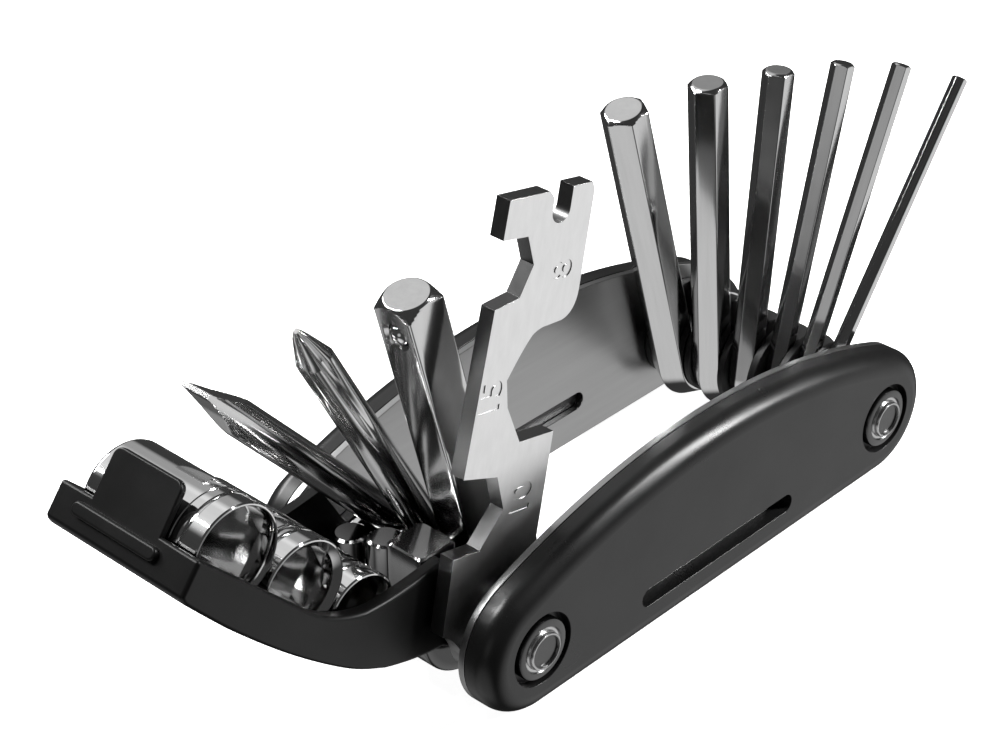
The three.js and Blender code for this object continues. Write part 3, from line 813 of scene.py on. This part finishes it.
def flat_wrench():
    node = "flat_wrench"
    low, high = box_mm(node)
    place_at = tool_matrix(LEFT, MOUNTS["jaw_15mm_lower"]["axis"])
    obj = slab(f"{node}_plate", wrench_outline(), low.y, high.y, place_at)
    cut(obj, rod_y(BORE_RADIUS, low.y - 1, high.y + 1))
    soften(obj, 0.3, 3, 18)
    for text, size, x, z in (("15", 5.2, -8.3, 33.5), ("10", 5.0, 0.4, 17.8), ("8", 5.0, 1.4, 48.5)):
        cut(obj, numeral(text, size, x, z, low.y))
    place(obj, node, WRENCH_CHROME, 30)


flat_wrench()


# ---- Socket tray and sockets ----

TRAY_LOW, TRAY_HIGH = box_mm("socket_tray")
INWARD = Vector(JOINTS["socket_10mm_lift"]["axis"])
TRAY_PLACE = tool_matrix(LEFT, (-INWARD.z, 0, INWARD.x))


def tray_point(along, depth):
    """A point in the tray's own terms: along it from the axle, and depth toward its outer floor."""
    return (-depth, along)


def tray_outline():
    p = tray_point
    points = [p(TRAY_END, 2.6), p(TRAY_END, 7.0)]
    points += bend(p(TRAY_END, 7.0), p(TRAY_END, 7.8), p(53.8, 8.1))
    points += spline([p(53.8, 8.1), p(44, 9.7), p(32, 10.8), p(21, 10.8), p(14.5, 9.7)])
    points += bend(p(14.5, 9.7), p(9.5, 8.0), p(5.4, 5.3))
    points += arc(0, 0, 5.6, 150, 425, 44)
    points += [p(13.0, -5.4)]
    points += bend(p(13.0, -5.4), p(18.5, 0.6), p(23.0, 3.4))
    points += bend(p(23.0, 3.4), p(28.0, 5.6), p(33.0, 5.2))
    return points


def tray_hollow():
    """The open space between the walls: above the floor, and all round the axle."""
    p, out = tray_point, 14
    inner_end = TRAY_END - TRAY_END_WALL
    return [p(inner_end, -out), p(inner_end, 4.6), p(40.6, 5.4), p(26.8, 6.4), p(17, 6.6), p(14.5, 7.2),
            p(14.5, out), p(-out, out), p(-out, -out)]


def tray_tab():
    """A thumb tab across the tray's end, drawn across (Y) and up (X), with two round corners."""
    corners = [(-5.0, -4.0)]
    corners += [(y, x) for y, x in arc(-3.7, 2.7, 1.3, 180, 90, 8)]
    corners += [(y, x) for y, x in arc(5.5, 2.7, 1.3, 90, 0, 8)]
    corners += [(6.8, -4.0)]
    rings = [[(x, y, z) for y, x in corners] for z in (TRAY_END - 1.0, TRAY_END)]
    return soften(skin("cutter", rings), 0.25, 3)


def tray_rib():
    """A raised bar with round ends across the outside of the tray's end."""
    radius, first, last = 0.9, -5.2, 7.6
    outline = arc(last, 0, radius, -90, 90, 12) + arc(first, 0, radius, 90, 270, 12)
    rings = [[(-4.7 + x, y, z) for y, x in outline] for z in (TRAY_END - 0.6, TRAY_END + 0.8)]
    return soften(skin("cutter", rings), 0.35, 4)


def socket_tray():
    node = "socket_tray"
    near, far = TRAY_LOW.y, TRAY_HIGH.y
    obj = slab(f"{node}_moulding", tray_outline(), near, far, TRAY_PLACE)
    soften(obj, 0.55, 4, 40)
    cut(obj, slab("cutter", tray_hollow(), near + TRAY_WALL, far - TRAY_WALL))
    join(obj, tray_tab(), tray_rib())
    seats = []
    for size in ("10mm", "9mm", "8mm"):
        x, z, radius = socket_place(size)
        seats.append(rod_y(radius + SOCKET_GAP, near + TRAY_WALL, far - TRAY_WALL, x, z, 80))
    cut(obj, *seats, rod_y(BORE_RADIUS, near - 1, far + 1))
    soften(obj, 0.16, 2, 50)
    place(obj, node, TRAY_BLACK, 40)


def socket_place(size):
    """A socket's axis in the tray's frame, and its radius."""
    low, high = box_mm(f"socket_{size}")
    centre = (TRAY_PLACE.inverted() @ ((low + high) / 2 * MM)) / MM
    return centre.x, centre.z, (high.x - low.x) / 2


def socket(size, flats):
    """A turned barrel with two grooves by its counterbored mouth, a hexagon bore and a square drive hole."""
    node = f"socket_{size}"
    x, z, radius = socket_place(size)
    low, high = box_mm(node)
    length = high.y - low.y
    lip = radius - 0.42
    bore = flats / math.sqrt(3) + 0.04
    barrel = [(0, COUNTERBORE), (bore, COUNTERBORE), (bore, 1.0), (bore + 0.05, 0.7),
              (lip, 0.06), (lip + 0.1, 0.0), (radius - 0.16, 0.05), (radius, 0.25),
              (radius, 2.55), (radius - 0.08, 2.68),
              (radius - 0.3, 2.74), (radius - 0.34, 2.9), (radius - 0.3, 3.06), (radius - 0.08, 3.12),
              (radius, 3.25), (radius, 4.3), (radius - 0.12, 4.4), (radius - 0.12, 4.6), (radius, 4.7),
              (radius, length - 0.8), (radius - 0.1, length - 0.45), (radius - 0.35, length - 0.15),
              (radius - 0.7, length), (0, length)]
    obj = turned(f"{node}_barrel", barrel, 128)
    obj.matrix_world = TRAY_PLACE @ Matrix.Translation(Vector((x, low.y, z)) * MM)
    hexagon = [(flats / math.sqrt(3) * math.cos(a), flats / math.sqrt(3) * math.sin(a)) for a in turns(6)]
    half = DRIVE_HOLE / 2
    square = [(-half, -half), (half, -half), (half, half), (-half, half)]
    cut(obj, slab("cutter", hexagon, HEXAGON_START, HEXAGON_END),
        slab("cutter", square, DRIVE_START, length + 1))
    soften(obj, 0.06, 1, 50)
    place(obj, node, SOCKET_CHROME, 28)


socket_tray()
for socket_size, across_flats in (("10mm", 10), ("9mm", 9), ("8mm", 8)):
    socket(socket_size, across_flats)

# The detent's spring lies hidden in the bar's drilled hole
spring = frame["nodes"]["detent_spring"]
spring.data.materials.clear()
spring.data.materials.append(BALL_STEEL)


# ---- Stage, lights and camera ----

WORLD_DIM = 0.05
# Each patch of light: its direction, the cosines of its edge and of its core, and its strength
PATCHES = [
    ((-0.60, -0.15, -0.78), 0.80, 0.96, 0.75),
    ((0.61, -0.58, -0.53), 0.70, 0.99, 0.85),
    ((-0.27, 0.58, -0.77), 0.84, 0.97, 0.40),
    ((0.61, 0.58, 0.53), 0.93, 0.98, 0.35),
    ((0.00, 0.58, 0.81), 0.80, 0.95, 0.75),
    ((-0.91, -0.38, 0.14), 0.95, 0.99, 0.45),
]
# Each lamp: its name, centre, target and size, and its power in watts
LAMPS = [
    ("key", (-260, 260, 560), (0, 0, 20), (260, 200), 4),
    ("back", (-160, 560, 420), (0, 0, 30), (420, 120), 4),
    ("strip", (420, -400, 400), (0, 0, 20), (60, 420), 7),
]
CAMERA_AZIMUTH, CAMERA_ELEVATION, CAMERA_ROLL = -46.4, 32.28, -0.57
CAMERA_LENS, SENSOR_WIDTH = 94.6, 36
CAMERA_PLACE = (PLATE_X - 227.4, -197.4, 214.37)


def studio(tree, patches, dim):
    """What the chrome mirrors: soft patches of light over a dim even one."""
    source = tree.nodes.new("ShaderNodeTexCoord").outputs["Generated"]
    total = None
    for direction, edge, core, strength in patches:
        dot = tree.nodes.new("ShaderNodeVectorMath")
        dot.operation = "DOT_PRODUCT"
        dot.inputs[1].default_value = Vector(direction).normalized()
        tree.links.new(source, dot.inputs[0])
        patch = tree.nodes.new("ShaderNodeMapRange")
        patch.interpolation_type = "SMOOTHSTEP"
        for socket, number in (("From Min", edge), ("From Max", core), ("To Min", 0), ("To Max", strength)):
            patch.inputs[socket].default_value = number
        tree.links.new(dot.outputs["Value"], patch.inputs["Value"])
        add = tree.nodes.new("ShaderNodeMath")
        add.operation = "ADD"
        add.inputs[1].default_value = dim
        tree.links.new(patch.outputs["Result"], add.inputs[0])
        if total is not None:
            tree.links.new(total, add.inputs[1])
        total = add.outputs["Value"]
    return total


def stage():
    """A pale floor that the camera sees, and that neither lights the object nor shows in it."""
    half = FLOOR_HALF
    corners = [(-half, -half, 0), (half, -half, 0), (half, half, 0), (-half, half, 0)]
    floor = make("floor", corners, [[0, 1, 2, 3]])
    made, tree, shader = material("pale_floor", Roughness=0.9, Specular_IOR_Level=0.1)
    vector = coordinates(tree)
    tree.links.new(tint(tree, noise(tree, vector, 6, 2), grey(0.90), grey(0.93)), shader.inputs["Base Color"])
    shader.inputs["Emission Color"].default_value = (1, 1, 1, 1)
    shader.inputs["Emission Strength"].default_value = 0.95
    floor.data.materials.append(made)
    floor.location.z = -FLOOR_DROP * MM
    floor.visible_glossy = False
    floor.visible_diffuse = False


def area_light(name, centre, target, size, power):
    light = bpy.data.lights.new(name, "AREA")
    light.shape = "RECTANGLE"
    light.size, light.size_y = size[0] * MM, size[1] * MM
    light.energy = power
    obj = bpy.data.objects.new(name, light)
    bpy.context.scene.collection.objects.link(obj)
    obj.location = Vector(centre) * MM
    obj.rotation_euler = (Vector(target) - Vector(centre)).to_track_quat("-Z", "Y").to_euler()


def lights():
    world = bpy.data.worlds.new("studio")
    bpy.context.scene.world = world
    world.use_nodes = True
    background = world.node_tree.nodes["Background"]
    background.inputs["Color"].default_value = (1, 1, 1, 1)
    world.node_tree.links.new(studio(world.node_tree, PATCHES, WORLD_DIM), background.inputs["Strength"])
    for lamp in LAMPS:
        area_light(*lamp)


def camera():
    """A long lens from the front left, about 32 degrees above the floor."""
    azimuth, elevation = math.radians(CAMERA_AZIMUTH), math.radians(CAMERA_ELEVATION)
    roll = math.radians(CAMERA_ROLL)
    look = Vector((-math.sin(azimuth) * math.cos(elevation), math.cos(azimuth) * math.cos(elevation),
                   -math.sin(elevation)))
    right = look.cross(Vector((0, 0, 1))).normalized()
    up = right.cross(look)
    turned_right = right * math.cos(roll) + up * math.sin(roll)
    turned_up = up * math.cos(roll) - right * math.sin(roll)
    lens = bpy.data.cameras.new("camera")
    lens.sensor_width = SENSOR_WIDTH
    lens.lens = CAMERA_LENS
    lens.clip_start, lens.clip_end = 0.01, 20
    obj = bpy.data.objects.new("camera", lens)
    bpy.context.scene.collection.objects.link(obj)
    at = Matrix((turned_right, turned_up, -look)).transposed().to_4x4()
    at.translation = Vector(CAMERA_PLACE) * MM
    obj.matrix_world = at
    bpy.context.scene.camera = obj


stage()
lights()
camera()
bpy.context.scene.view_settings.view_transform = "Standard"
